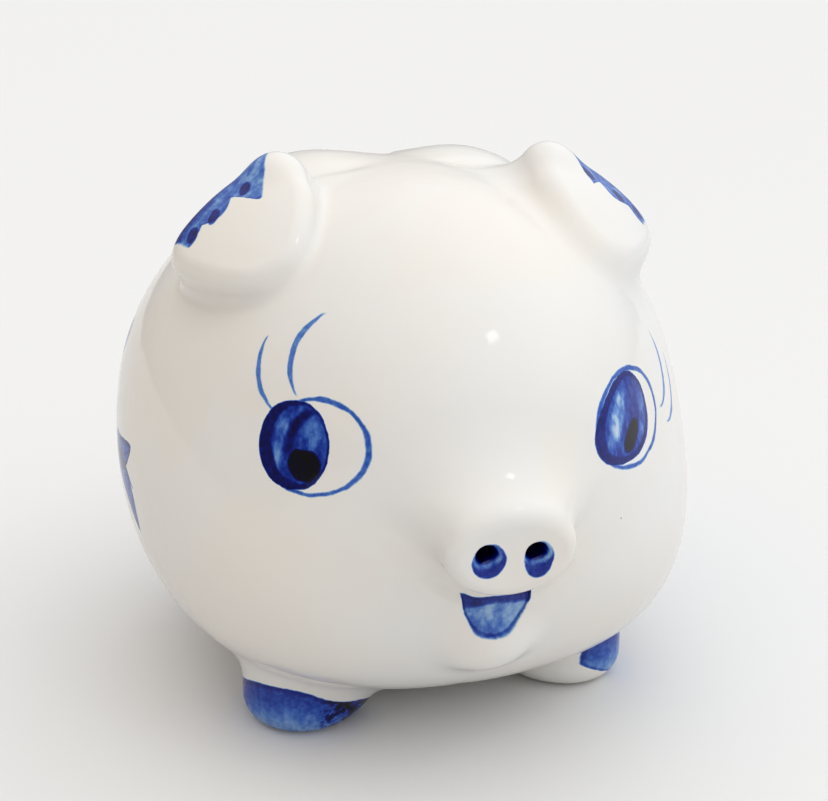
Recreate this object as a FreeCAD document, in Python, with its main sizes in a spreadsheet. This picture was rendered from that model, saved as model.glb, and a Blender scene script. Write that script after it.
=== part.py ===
"""A hollow earthenware pig bank: a cast body, its luted-on features and a soft belly stopper.

Millimetres. +Z is up, the pig faces -Y, X is the line of symmetry's normal, and the origin is the
middle of the floor under the pig.
"""
import FreeCAD, Part
import math
import os
import Sketcher
from FreeCAD import Placement, Rotation, Vector

SIZES = {
    # the fired wall, and the body's middle and half sizes that its hollow is drawn smaller about
    "wall_thickness": 4.5,
    "body_half_width": 56.3,
    "body_half_length": 63.0,
    "body_half_height": 49.6,
    "body_middle_back": 2.0,
    "body_middle_up": 52.6,
    # the slot for coins, along the middle of the back, behind its highest point
    "slot_width": 5.0,
    "slot_length": 32.0,
    "slot_back": 32.0,
    "slot_cut_up": 74.0,
    "slot_cut_depth": 40.0,
    # the shallow open mouth under the snout
    "mouth_ball_radius": 9.0,
    "mouth_front": 64.6,
    "mouth_up": 33.4,
    # the hole in the belly and the flat land that the stopper's flange bears on
    "hole_radius": 16.0,
    "land_radius": 20.0,
    "land_up": 6.2,
    "hole_depth": 30.0,
    "belly_hole_back": 5.0,
    # the stopper
    "stopper_gap": 0.05,
    "land_gap": 0.05,
    "flange_radius": 19.0,
    "flange_thickness": 1.7,
    "flange_lip": 0.5,
    "barrel_height": 9.0,
    "barrel_wall": 1.6,
    "barrel_floor": 1.4,
    # the snout
    "snout_half_width": 10.4,
    "snout_half_height": 7.8,
    "snout_length": 16.0,
    "snout_edge": 2.2,
    "snout_face_front": 68.3,
    "snout_up": 49.2,
    "snout_droop": 8.0,
    "nostril_radius": 1.6,
    "nostril_depth": 5.0,
    "nostril_side": 3.9,
    "nostril_drop": 0.8,
    # a folded ear
    "ear_fold_length": 24.0,
    "ear_drop": 24.0,
    "ear_tip_radius": 9.0,
    "ear_thickness": 14.0,
    "ear_edge": 2.6,
    "ear_side": 28.5,
    "ear_front": 4.3,
    "ear_up": 90.0,
    "ear_yaw": 8.6,
    "ear_pitch": 42.2,
    "ear_roll": 37.5,
    # the four stub feet
    "foot_radius": 11.2,
    "foot_edge": 3.4,
    "foot_height": 28.0,
    "foot_side": 26.5,
    "front_foot_front": 20.5,
    "rear_foot_back": 31.0,
    # the curled tail
    "tail_curl_radius": 5.2,
    "tail_thickness": 2.8,
    "tail_turn": 290.0,
    "tail_back": 66.3,
    "tail_up": 58.0,
}

# oval stations of the body from nose to rump: how far back, half width, half height, centre height
STATIONS = (
    (-61.2, 6.5, 6.4, 52.0),
    (-58.9, 16.0, 15.9, 51.8),
    (-54.0, 25.5, 25.4, 50.8),
    (-44.5, 38.0, 36.6, 49.4),
    (-32.5, 46.8, 43.8, 49.6),
    (-16.0, 53.6, 48.2, 50.8),
    (5.0, 56.3, 49.6, 52.6),
    (27.0, 53.2, 47.4, 52.9),
    (43.5, 44.4, 39.2, 53.0),
    (54.0, 33.6, 29.6, 53.0),
    (61.5, 20.2, 17.8, 53.0),
    (65.0, 7.0, 6.2, 53.0),
)
for number, station in enumerate(STATIONS, start=1):
    for word, value in zip(("back", "width", "height", "up"), station):
        SIZES[f"station{number}_{word}"] = value

doc = FreeCAD.newDocument("PigBank")
sheet = doc.addObject("Spreadsheet::Sheet", "Sizes")
for row, (name, value) in enumerate(SIZES.items(), start=1):
    sheet.set(f"A{row}", name)
    sheet.set(f"B{row}", str(value))
    sheet.setAlias(f"B{row}", name)
doc.recompute()


def bind(target, **formulas):
    """Bind properties to formulas over the sheet; a double underscore stands for a dot."""
    for prop, formula in formulas.items():
        words = formula.split(" ")
        spelled = [f"Sizes.{word}" if word in SIZES else word for word in words]
        target.setExpression(prop.replace("__", "."), " ".join(spelled))


def body_loft(name, shrunk):
    """The body's smooth solid through its oval stations, or the hollow that leaves the wall."""
    ovals = []
    for number in range(1, len(STATIONS) + 1):
        oval = doc.addObject("Part::Ellipse", f"{name}Oval{number}")
        oval.Placement.Rotation = Rotation(Vector(1, 0, 0), 90)
        shrinks = {axis: f" * ( 1 - wall_thickness / body_half_{axis} )" if shrunk else ""
                   for axis in ("width", "height", "length")}
        back = f"station{number}_back"
        up = f"station{number}_up"
        if shrunk:
            back = f"body_middle_back + ( {back} - body_middle_back ){shrinks['length']}"
            up = f"body_middle_up + ( {up} - body_middle_up ){shrinks['height']}"
        bind(oval, MajorRadius=f"station{number}_width{shrinks['width']}",
             MinorRadius=f"station{number}_height{shrinks['height']}",
             Placement__Base__y=back, Placement__Base__z=up)
        ovals.append(oval)
    loft = doc.addObject("Part::Loft", name)
    loft.Sections = ovals
    loft.Solid = True
    return loft


def combine(kind, name, pieces):
    """A fused or cut Part feature of other objects."""
    if kind == "fuse":
        result = doc.addObject("Part::MultiFuse", name)
        result.Shapes = pieces
    else:
        result = doc.addObject("Part::Cut", name)
        result.Base, result.Tool = pieces
    return result


def new_body(name):
    body = doc.addObject("PartDesign::Body", name)
    doc.recompute()
    return body


def new_sketch(body, name, role, offset=0.0):
    """A sketch on one of the body's own origin planes, moved along the plane's normal."""
    sketch = body.newObject("Sketcher::SketchObject", name)
    planes = [item for item in body.Origin.OriginFeatures if item.Role == role]
    sketch.AttachmentSupport = [(planes[0], "")]
    sketch.MapMode = "FlatFace"
    sketch.AttachmentOffset = Placement(Vector(0, 0, offset), Rotation())
    return sketch


def dimension(sketch, name, formula, *args):
    """A named driving dimension of a sketch, bound to the sheet."""
    index = sketch.addConstraint(Sketcher.Constraint(*args))
    sketch.renameConstraint(index, name)
    bind(sketch, **{f"Constraints__{name}": formula})


def closed_outline(sketch, points):
    """Straight edges through the points, joined end to end and closed."""
    corners = [Vector(x, y, 0) for x, y in points]
    count = len(corners)
    for index, corner in enumerate(corners):
        sketch.addGeometry(Part.LineSegment(corner, corners[(index + 1) % count]))
    for index in range(count):
        following = (index + 1) % count
        sketch.addConstraint(Sketcher.Constraint("Coincident", index, 2, following, 1))


def size(name):
    return float(sheet.get(name))


# ---------------------------------------------------------------- body_shell
outside = body_loft("Outside", shrunk=False)
inside = body_loft("Inside", shrunk=True)

slot_cutter = new_body("SlotCutter")
slot_sketch = new_sketch(slot_cutter, "SlotSketch", "XY_Plane")
half_run = (size("slot_length") - size("slot_width")) / 2
slot_end = size("slot_width") / 2
slot_sketch.addGeometry([
    Part.ArcOfCircle(Part.Circle(Vector(0, half_run, 0), Vector(0, 0, 1), slot_end), 0, math.pi),
    Part.ArcOfCircle(Part.Circle(Vector(0, -half_run, 0), Vector(0, 0, 1), slot_end),
                     math.pi, 2 * math.pi),
    Part.LineSegment(Vector(slot_end, -half_run, 0), Vector(slot_end, half_run, 0)),
    Part.LineSegment(Vector(-slot_end, half_run, 0), Vector(-slot_end, -half_run, 0)),
])
for constraint in (
    Sketcher.Constraint("Tangent", 2, 2, 0, 1),
    Sketcher.Constraint("Tangent", 0, 2, 3, 1),
    Sketcher.Constraint("Tangent", 3, 2, 1, 1),
    Sketcher.Constraint("Tangent", 1, 2, 2, 1),
    Sketcher.Constraint("Vertical", 2),
    Sketcher.Constraint("Symmetric", 0, 3, 1, 3, -1, 1),
):
    slot_sketch.addConstraint(constraint)
dimension(slot_sketch, "end_radius", "slot_width / 2", "Radius", 0, slot_end)
dimension(slot_sketch, "run", "slot_length - slot_width", "DistanceY", 1, 3, 0, 3, 2 * half_run)
slot_pad = slot_cutter.newObject("PartDesign::Pad", "SlotPad")
slot_pad.Profile = slot_sketch
bind(slot_pad, Length="slot_cut_depth")
bind(slot_cutter, Placement__Base__y="slot_back", Placement__Base__z="slot_cut_up")

mouth_cutter = doc.addObject("Part::Sphere", "MouthCutter")
bind(mouth_cutter, Radius="mouth_ball_radius",
     Placement__Base__y="-1 * mouth_front", Placement__Base__z="mouth_up")
hole_cutter = doc.addObject("Part::Cylinder", "HoleCutter")
bind(hole_cutter, Radius="hole_radius", Height="hole_depth",
     Placement__Base__y="belly_hole_back")
land_cutter = doc.addObject("Part::Cylinder", "LandCutter")
bind(land_cutter, Radius="land_radius", Height="land_up", Placement__Base__y="belly_hole_back")

cast = combine("cut", "Cast", [outside, inside])
openings = combine("fuse", "Openings", [slot_cutter, mouth_cutter, hole_cutter, land_cutter])
body_shell = combine("cut", "BodyShell", [cast, openings])

# ---------------------------------------------------------------- snout
snout_raw = new_body("SnoutRaw")
snout_sketch = new_sketch(snout_raw, "SnoutSketch", "XY_Plane")
half_w, half_h = size("snout_half_width"), size("snout_half_height")
oval = Part.Ellipse(Vector(half_w, 0, 0), Vector(0, half_h, 0), Vector(0, 0, 0))
snout_sketch.addGeometry(oval)
snout_sketch.exposeInternalGeometry(0)
snout_sketch.addConstraint(Sketcher.Constraint("Coincident", 0, 3, -1, 1))
snout_sketch.addConstraint(Sketcher.Constraint("Horizontal", 1))
dimension(snout_sketch, "width", "2 * snout_half_width", "Distance", 1, 1, 1, 2, 2 * half_w)
dimension(snout_sketch, "height", "2 * snout_half_height", "Distance", 2, 1, 2, 2, 2 * half_h)
snout_pad = snout_raw.newObject("PartDesign::Pad", "SnoutPad")
snout_pad.Profile = snout_sketch
bind(snout_pad, Length="snout_length")
snout_pad.Reversed = True
doc.recompute()
snout_round = snout_raw.newObject("PartDesign::Fillet", "SnoutRound")
front_edges = [f"Edge{number}" for number, edge in enumerate(snout_pad.Shape.Edges, start=1)
               if abs(edge.BoundBox.ZMax) < 1e-6 and abs(edge.BoundBox.ZMin) < 1e-6]
snout_round.Base = (snout_pad, front_edges)
bind(snout_round, Radius="snout_edge")
doc.recompute()
nostril_sketch = new_sketch(snout_raw, "NostrilSketch", "XY_Plane")
for side, sign in (("left", 1), ("right", -1)):
    centre = Vector(sign * size("nostril_side"), -size("nostril_drop"), 0)
    index = nostril_sketch.addGeometry(
        Part.Circle(centre, Vector(0, 0, 1), size("nostril_radius")))
    dimension(nostril_sketch, f"radius_{side}", "nostril_radius", "Radius", index, 1.0)
    low, high = ((-1, 1), (index, 3)) if sign > 0 else ((index, 3), (-1, 1))
    dimension(nostril_sketch, f"side_{side}", "nostril_side", "DistanceX", *low, *high, 1.0)
    dimension(nostril_sketch, f"drop_{side}", "nostril_drop", "DistanceY", index, 3, -1, 1, 1.0)
nostrils = snout_raw.newObject("PartDesign::Pocket", "Nostrils")
nostrils.Profile = nostril_sketch
bind(nostrils, Length="nostril_depth")
doc.recompute()
if nostrils.Shape.Volume >= snout_round.Shape.Volume:
    raise RuntimeError("the nostrils cut nothing")
# the snout's own +Z is its face's normal: it leans from -Y down by the droop
bind(snout_raw, Placement__Rotation__Angle="90 + snout_droop",
     Placement__Base__y="-1 * snout_face_front", Placement__Base__z="snout_up")
snout_raw.Placement.Rotation.Axis = Vector(1, 0, 0)
snout = combine("cut", "Snout", [snout_raw, outside])

# ---------------------------------------------------------------- ears
ear_raw = new_body("EarRaw")
ear_sketch = new_sketch(ear_raw, "EarSketch", "XY_Plane")
fold, drop, tip = size("ear_fold_length"), size("ear_drop"), size("ear_tip_radius")
tip_y = -drop + tip
left_corner, right_corner = Vector(-fold / 2, 0, 0), Vector(fold / 2, 0, 0)
tip_circle = Part.Circle(Vector(0, tip_y, 0), Vector(0, 0, 1), tip)
ear_sketch.addGeometry([
    Part.LineSegment(left_corner, right_corner),
    Part.LineSegment(right_corner, Vector(tip, tip_y, 0)),
    Part.ArcOfCircle(tip_circle, math.pi, 2 * math.pi),
    Part.LineSegment(Vector(-tip, tip_y, 0), left_corner),
])
for constraint in (
    Sketcher.Constraint("Coincident", 0, 2, 1, 1),
    Sketcher.Constraint("Tangent", 1, 2, 2, 2),
    Sketcher.Constraint("Tangent", 2, 1, 3, 1),
    Sketcher.Constraint("Coincident", 3, 2, 0, 1),
    Sketcher.Constraint("Symmetric", 0, 1, 0, 2, -1, 1),
    Sketcher.Constraint("PointOnObject", 2, 3, -2),
    Sketcher.Constraint("Horizontal", 0),
):
    ear_sketch.addConstraint(constraint)
dimension(ear_sketch, "fold", "ear_fold_length", "DistanceX", 0, 1, 0, 2, fold)
dimension(ear_sketch, "tip", "ear_tip_radius", "Radius", 2, tip)
dimension(ear_sketch, "drop", "ear_drop - ear_tip_radius", "DistanceY", 2, 3, -1, 1, -tip_y)
ear_pad = ear_raw.newObject("PartDesign::Pad", "EarPad")
ear_pad.Profile = ear_sketch
bind(ear_pad, Length="ear_thickness")
doc.recompute()
ear_round = ear_raw.newObject("PartDesign::Fillet", "EarRound")
outer_edges = [f"Edge{number}" for number, edge in enumerate(ear_pad.Shape.Edges, start=1)
               if edge.BoundBox.ZMin > size("ear_thickness") - 1e-6]
ear_round.Base = (ear_pad, outer_edges)
bind(ear_round, Radius="ear_edge")
# the ear's own +X runs out along the fold, and its +Z looks out, forward and up
ear_raw.setExpression(
    "Placement",
    "create(<<placement>>; create(<<vector>>; Sizes.ear_side; -Sizes.ear_front; Sizes.ear_up);"
    " create(<<rotation>>; Sizes.ear_yaw; Sizes.ear_pitch; Sizes.ear_roll))")
ear_left = combine("cut", "EarLeft", [ear_raw, outside])
ear_right = doc.addObject("Part::Mirroring", "EarRight")
ear_right.Source = ear_left
ear_right.Normal = Vector(1, 0, 0)

# ---------------------------------------------------------------- feet
FEET = {
    "FrontLeftFoot": ("foot_side", "-1 * front_foot_front"),
    "FrontRightFoot": ("-1 * foot_side", "-1 * front_foot_front"),
    "RearLeftFoot": ("foot_side", "rear_foot_back"),
    "RearRightFoot": ("-1 * foot_side", "rear_foot_back"),
}
feet = []
for name, (side, back) in FEET.items():
    stub = new_body(f"{name}Raw")
    round_sketch = new_sketch(stub, f"{name}Sketch", "XY_Plane")
    round_sketch.addGeometry(Part.Circle(Vector(0, 0, 0), Vector(0, 0, 1), size("foot_radius")))
    round_sketch.addConstraint(Sketcher.Constraint("Coincident", 0, 3, -1, 1))
    dimension(round_sketch, "radius", "foot_radius", "Radius", 0, size("foot_radius"))
    stub_pad = stub.newObject("PartDesign::Pad", f"{name}Pad")
    stub_pad.Profile = round_sketch
    bind(stub_pad, Length="foot_height")
    doc.recompute()
    sole_round = stub.newObject("PartDesign::Fillet", f"{name}Round")
    sole_edges = [f"Edge{number}" for number, edge in enumerate(stub_pad.Shape.Edges, start=1)
                  if edge.BoundBox.ZMax < 1e-6]
    sole_round.Base = (stub_pad, sole_edges)
    bind(sole_round, Radius="foot_edge")
    bind(stub, Placement__Base__x=side, Placement__Base__y=back)
    feet.append(combine("cut", name, [stub, outside]))

# ---------------------------------------------------------------- tail
curl = doc.addObject("Part::Torus", "TailCurl")
bind(curl, Radius1="tail_curl_radius", Radius2="tail_thickness", Angle3="tail_turn",
     Placement__Base__y="tail_back", Placement__Base__z="tail_up")
curl.Placement.Rotation = Rotation(Vector(1, 0, 0), 90)
tips = []
for name, turned in (("TailRoot", "0"), ("TailTip", "tail_turn")):
    end = doc.addObject("Part::Sphere", name)
    bind(end, Radius="tail_thickness",
         Placement__Base__x=f"tail_curl_radius * cos( {turned} * 1 deg )",
         Placement__Base__y="tail_back",
         Placement__Base__z=f"tail_up + tail_curl_radius * sin( {turned} * 1 deg )")
    tips.append(end)
tail_raw = combine("fuse", "TailRaw", [curl, *tips])
tail = combine("cut", "Tail", [tail_raw, outside])

# ---------------------------------------------------------------- stopper
stopper = new_body("Stopper")
plug_sketch = new_sketch(stopper, "PlugSketch", "XZ_Plane")
flange_r, barrel_r = size("flange_radius"), size("hole_radius") - size("stopper_gap")
flange_t, top = size("flange_thickness"), size("flange_thickness") + size("barrel_height")
well_r, floor_up = barrel_r - size("barrel_wall"), size("barrel_floor")
closed_outline(plug_sketch, [
    (0, 0), (flange_r, 0), (flange_r, flange_t), (barrel_r, flange_t), (barrel_r, top),
    (well_r, top), (well_r, floor_up), (0, floor_up),
])
for edge in (0, 2, 4, 6):
    plug_sketch.addConstraint(Sketcher.Constraint("Horizontal", edge))
for edge in (1, 3, 5, 7):
    plug_sketch.addConstraint(Sketcher.Constraint("Vertical", edge))
plug_sketch.addConstraint(Sketcher.Constraint("Coincident", 0, 1, -1, 1))
PLUG_SIZES = (
    ("flange", "flange_radius", "DistanceX", 0, flange_r),
    ("thickness", "flange_thickness", "DistanceY", 1, flange_t),
    ("barrel", "barrel_height", "DistanceY", 3, top - flange_t),
)
for name, formula, kind, edge, value in PLUG_SIZES:
    dimension(plug_sketch, name, formula, kind, edge, 1, edge, 2, value)
dimension(plug_sketch, "barrel_radius", "hole_radius - stopper_gap",
          "DistanceX", -1, 1, 3, 1, barrel_r)
dimension(plug_sketch, "well_radius", "hole_radius - stopper_gap - barrel_wall",
          "DistanceX", -1, 1, 5, 1, well_r)
dimension(plug_sketch, "floor", "barrel_floor", "DistanceY", 0, 1, 7, 1, floor_up)
plug_turn = stopper.newObject("PartDesign::Revolution", "PlugTurn")
plug_turn.Profile = plug_sketch
plug_turn.ReferenceAxis = (plug_sketch, ["V_Axis"])
plug_turn.Angle = 360
doc.recompute()
plug_round = stopper.newObject("PartDesign::Fillet", "PlugRound")
rim_edges = [
    f"Edge{number}" for number, edge in enumerate(plug_turn.Shape.Edges, start=1)
    if isinstance(edge.Curve, Part.Circle) and abs(edge.Curve.Radius - flange_r) < 1e-6
    and edge.BoundBox.ZMax < 1e-6]
plug_round.Base = (plug_turn, rim_edges)
bind(plug_round, Radius="flange_lip")
bind(stopper, Placement__Base__y="belly_hole_back",
     Placement__Base__z="land_up - land_gap - flange_thickness")

# ---------------------------------------------------------------- check and write
PARTS = {
    "body_shell": body_shell,
    "snout": snout,
    "ear_left": ear_left,
    "ear_right": ear_right,
    "front_left_foot": feet[0],
    "front_right_foot": feet[1],
    "rear_left_foot": feet[2],
    "rear_right_foot": feet[3],
    "tail": tail,
    "stopper": stopper,
}
for label, part in PARTS.items():
    part.Label = label
doc.recompute()
for item in doc.Objects:
    if "Invalid" in item.State or "Error" in item.State:
        raise RuntimeError(f"{item.Name} failed: {item.State}")
os.makedirs("parts", exist_ok=True)
for label, part in PARTS.items():
    if part.Shape.isNull() or not part.Shape.isValid():
        raise RuntimeError(f"{label} has no valid shape")
    if len(part.Shape.Solids) != 1:
        raise RuntimeError(f"{label} is {len(part.Shape.Solids)} solids")
    part.Shape.exportStep(f"parts/{part.Label}.step")
    box = part.Shape.optimalBoundingBox()
    print(f"{label:18s} {part.Shape.Volume:10.1f} mm3  X {box.XMin:.2f} {box.XMax:.2f}"
          f"  Y {box.YMin:.2f} {box.YMax:.2f}  Z {box.ZMin:.2f} {box.ZMax:.2f}")
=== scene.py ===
"""The looks of the pig bank: glazed earthenware painted by hand in cobalt blue.

The body and its features are one implicit surface, because one glaze runs over all of them. It is
meshed, cut apart along the lines where the features join the body, and closed piece by piece.
Lengths in this script are millimetres until a mesh is made; +Z is up and the pig faces -Y.
"""

import math

import bpy
import numpy as np
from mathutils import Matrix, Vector


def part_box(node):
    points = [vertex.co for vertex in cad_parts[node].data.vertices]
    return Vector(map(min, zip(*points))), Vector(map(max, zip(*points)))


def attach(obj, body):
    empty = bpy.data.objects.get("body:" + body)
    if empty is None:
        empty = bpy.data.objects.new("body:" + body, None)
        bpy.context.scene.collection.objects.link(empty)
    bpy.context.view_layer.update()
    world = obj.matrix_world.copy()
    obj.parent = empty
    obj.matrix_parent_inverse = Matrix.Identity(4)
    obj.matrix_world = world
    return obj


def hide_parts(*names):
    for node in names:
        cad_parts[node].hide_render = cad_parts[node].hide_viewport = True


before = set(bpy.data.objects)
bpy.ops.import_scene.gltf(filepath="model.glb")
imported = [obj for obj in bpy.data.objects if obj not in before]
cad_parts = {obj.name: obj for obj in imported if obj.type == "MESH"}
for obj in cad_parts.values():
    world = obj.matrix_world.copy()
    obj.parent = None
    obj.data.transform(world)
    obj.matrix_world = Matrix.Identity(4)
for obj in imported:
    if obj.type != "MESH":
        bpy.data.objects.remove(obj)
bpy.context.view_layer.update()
MM = 0.001

# ---- the implicit surface


def unit(vector):
    vector = np.asarray(vector, float)
    return vector / np.linalg.norm(vector)


def fade(x, low, high):
    """0 below low, 1 above high, smooth between."""
    t = np.clip((x - low) / (high - low), 0, 1)
    return t * t * (3 - 2 * t)


def smooth_min(a, b, k):
    """The union of two fields with a fillet about k wide."""
    h = np.clip(0.5 + 0.5 * (b - a) / k, 0, 1)
    return b * (1 - h) + a * h - k * h * (1 - h)


def smooth_max(a, b, k):
    return -smooth_min(-a, -b, k)


def ellipsoid(p, centre, radii):
    q = p - np.array(centre)
    a = np.array(radii)
    inner = np.linalg.norm(q / a, axis=-1)
    slope = np.linalg.norm(q / a**2, axis=-1) + 1e-9
    return np.where(inner < 0.3, (inner - 1) * a.min(), inner * (inner - 1) / slope)


def oval(x, y, a, b):
    """Distance to an ellipse in a plane."""
    inner = np.hypot(x / a, y / b)
    slope = np.hypot(x / a**2, y / b**2) + 1e-9
    return np.where(inner < 0.35, (inner - 1) * min(a, b), inner * (inner - 1) / slope)


def capsule(p, start, end, start_radius, end_radius):
    start, end = np.array(start, float), np.array(end, float)
    along = end - start
    t = np.clip((p - start) @ along / (along @ along), 0, 1)
    gap = np.linalg.norm(p - start - t[..., None] * along, axis=-1)
    return gap - (start_radius + (end_radius - start_radius) * t)


def rounded(side, end, radius):
    """A solid bounded by a side field and an end field that meet in a rounded edge."""
    side = side + radius
    end = end + radius
    outside = np.hypot(np.maximum(side, 0), np.maximum(end, 0))
    return np.minimum(np.maximum(side, end), 0) + outside - radius


def mirrored(p):
    q = p.copy()
    q[..., 0] = np.abs(q[..., 0])
    return q


def axes_across(tilt):
    """Axes of a plane that looks forward and down by tilt: right, up, and out of it."""
    return np.array([[1, 0, 0], [0, -math.sin(tilt), math.cos(tilt)],
                     [0, -math.cos(tilt), -math.sin(tilt)]]).T


# balls that blend into the body: middle, radii, and the width of the fillet to what is there
BARREL = ((0, 7.6, 52.8), (56.1, 57.4, 49.0))
HEAD = ((0, -19.4, 52), (37.2, 43.1, 44.7), 14)
CHEEKS = ((23.4, -3.7, 34.8), (27.5, 45, 25.9), 16)
SHOULDERS = ((16.0, 17.0, 83.4), (16.6, 24.0, 17.6), 8)
CHIN = ((0, -52.5, 28.6), (7.4, 6.8, 5.8), 5)
# a shallow crease where the head meets the shoulders, which bows back towards its ends
CREASE_DEPTH = 0.5
CREASE_WIDTH = 2.6
CREASE_AT = 1.5
CREASE_BOW = 0.012
WALL = 4.5

# the middle of the snout's face, and its radii, rim, flare towards the head and depth
SNOUT_AT = np.array([0, -68.4, 49.5])
SNOUT_AXES = axes_across(math.radians(9))
SNOUT_RADII = (10.9, 8.0)
SNOUT_RIM = 2.4
SNOUT_FLARE = 0.09
SNOUT_DEPTH = 22
# nostrils across the snout's face: the hole's middle, and the painted oval's middle and radii
NOSTRILS = (((-4.7, 0.75), (-4.35, -0.2), (2.85, 3.15)), ((3.7, 0.35), (4.05, -0.8), (2.45, 3.3)))

# the mouth's outline is a bowl of second and fourth powers under a flat top
MOUTH_AT = np.array([0, -58.6, 36.2])
MOUTH_AXES = axes_across(math.radians(20))
MOUTH_BOWL = (0.06, 0.0042)
MOUTH_LOW = 4.5
MOUTH_TOP = 3.2
MOUTH_EVEN = 0.4
MOUTH_DEPTH = 0.5
# the dimple at either end of the smile: its ends and the radius at each
DIMPLE = ((6.8, -60.5, 39.8), (11.4, -60.0, 42.8), 1.0, 0.6)

# feet: middle across, middle back; the potter set them a little askew
FEET = {"front_left_foot": (28.8, -17.0), "front_right_foot": (-26.0, -21.5),
        "rear_left_foot": (26.5, 31.0), "rear_right_foot": (-26.5, 31.0)}
FOOT_RADIUS = 11.5
FOOT_RIM = 4.6
FOOT_TOP = 22

# the ear's front plane: its top corner, and axes along the fold, down the flap, and out
EAR_TOP = np.array([27.6, -7.4, 106.0])
EAR_OUT = unit((0.39, -0.56, 0.73))
EAR_ALONG = np.array([0.726, -0.299, -0.619])
EAR_FOLD = unit(EAR_ALONG - EAR_OUT * (EAR_OUT @ EAR_ALONG))
EAR_DOWN = np.cross(EAR_FOLD, EAR_OUT)
# corners of the flap along the fold and down it, with how round each corner is
EAR_CORNERS = ((-1.0, -1.6), (12.0, -5.8), (26.5, -5.8), (28.3, 12.5), (19.0, 23.5), (7.0, 19.5),
               (-1.5, 8.0))
EAR_ROUND = (2.5, 3.0, 6.0, 9.0, 9.0, 7.0, 4.0)
# the flap's front bulges out about its middle; its rim is rounded, and a root joins it to the head
EAR_MIDDLE = (12, 13)
EAR_BULGE = 0.010
EAR_FRONT = 1.6
EAR_RIM = 3.0
EAR_DEPTH = 13
EAR_ROOT = (EAR_TOP + [-1.6, 0.2, -5.0], (22.5, -4.0, 92.0), 4.8, 6.5)

# the tail's curl: how far back and up it is, and its reach and thickness, which shrink to the tip
TAIL_RINGS = 30
TAIL_TURN = (math.radians(-70), math.radians(330))
TAIL_AT = (63.6, 57.5)
TAIL_RUN = 3.6
TAIL_REACH, TAIL_CLOSING = 5.6, 2.4
TAIL_THICK, TAIL_THINNING = 2.9, 1.3
AWAY_FROM_TAIL = 30.0

# the coin slot: how far back its middle is, half its straight run, half its width, its bottom
SLOT_BACK = 32
SLOT_HALF_RUN = 13.5
SLOT_HALF_WIDTH = 2.5
SLOT_BOTTOM = 70
# the stopper's hole in the belly, and the flat land that its flange bears on
WELL_BACK = 5
HOLE_RADIUS, HOLE_TOP = 16.0, 30
LAND_RADIUS, LAND_TOP = 20.0, 6.2


def body(p):
    """The round body and head, without features."""
    m = mirrored(p)
    d = ellipsoid(m, *BARREL)
    for centre, radii, fillet in (HEAD, CHEEKS, SHOULDERS):
        d = smooth_min(d, ellipsoid(m, centre, radii), fillet)
    run = m[..., 1] - CREASE_AT - CREASE_BOW * (m[..., 0] - 12) ** 2
    where = fade(m[..., 2], 86, 96) * fade(m[..., 0], 4, 12) * fade(-m[..., 0], -30, -22)
    return d + CREASE_DEPTH * np.exp(-(run / CREASE_WIDTH) ** 2) * where


def snout_field(p):
    q = (p - SNOUT_AT) @ SNOUT_AXES
    back = np.clip(-q[..., 2], 0, 30)
    side = oval(q[..., 0], q[..., 1], *SNOUT_RADII) - SNOUT_FLARE * back
    return np.maximum(rounded(side, q[..., 2], SNOUT_RIM), -q[..., 2] - SNOUT_DEPTH)


def ear_plane(m):
    q = m - EAR_TOP
    return q @ EAR_FOLD, q @ EAR_DOWN, q @ EAR_OUT


def ear_field(m):
    c, h, w = ear_plane(m)
    corners = np.array(EAR_CORNERS)
    outline = None
    for number, corner in enumerate(corners):
        following = corners[(number + 1) % len(corners)]
        run = unit(following - corner)
        edge = run[1] * (c - corner[0]) - run[0] * (h - corner[1])
        outline = edge if outline is None else smooth_max(outline, edge, EAR_ROUND[number])
    bulge = EAR_BULGE * ((c - EAR_MIDDLE[0]) ** 2 + (h - EAR_MIDDLE[1]) ** 2)
    flap = np.maximum(rounded(outline, w + bulge - EAR_FRONT, EAR_RIM), -w - EAR_DEPTH)
    root = capsule(m, *EAR_ROOT)
    return smooth_min(flap, root, 4.0)


def foot_field(p, name):
    across, back = FEET[name]
    r = np.hypot(p[..., 0] - across, p[..., 1] - back)
    return rounded(r - FOOT_RADIUS, np.maximum(-p[..., 2], p[..., 2] - FOOT_TOP), FOOT_RIM)


def tail_points():
    """The curl's centre line and thickness, from the rump to its tip."""
    turn = np.linspace(*TAIL_TURN, TAIL_RINGS)
    t = np.linspace(0, 1, TAIL_RINGS)
    reach = TAIL_REACH - TAIL_CLOSING * t
    back, up = TAIL_AT
    line = np.stack([reach * np.cos(turn), back + TAIL_RUN * t, up + reach * np.sin(turn)], 1)
    return line, TAIL_THICK - TAIL_THINNING * t**1.5


def tail_field(p):
    """The field of the curl, worked out only near it."""
    line, thick = tail_points()
    value = np.full(p.shape[:-1], AWAY_FROM_TAIL)
    close = np.linalg.norm(p - [0, 64, 58], axis=-1) < 22
    if close.any():
        q = p[close]
        d = np.full(len(q), AWAY_FROM_TAIL)
        for number in range(TAIL_RINGS - 1):
            d = np.minimum(d, capsule(q, line[number], line[number + 1],
                                      thick[number], thick[number + 1]))
        value[close] = d
    return value


def outer(p):
    """Everything that the glaze covers outside, before the openings are cut."""
    m = mirrored(p)
    d = smooth_min(body(p), snout_field(p), 1.4 + 9 * fade(p[..., 2], 45, 58))
    centre, radii, fillet = CHIN
    d = smooth_min(d, ellipsoid(m, centre, radii), fillet)
    for name, (across, _) in FEET.items():
        inward = np.sign(across) * (across - p[..., 0])
        d = smooth_min(d, foot_field(p, name), 3.5 + 5 * fade(inward, -4, 10))
    # the left ear was pressed on more softly than the right one
    d = smooth_min(d, ear_field(m), 2.2 + 4.5 * fade(p[..., 0], 0, 12))
    return smooth_min(d, tail_field(p), 1.5)


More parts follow.
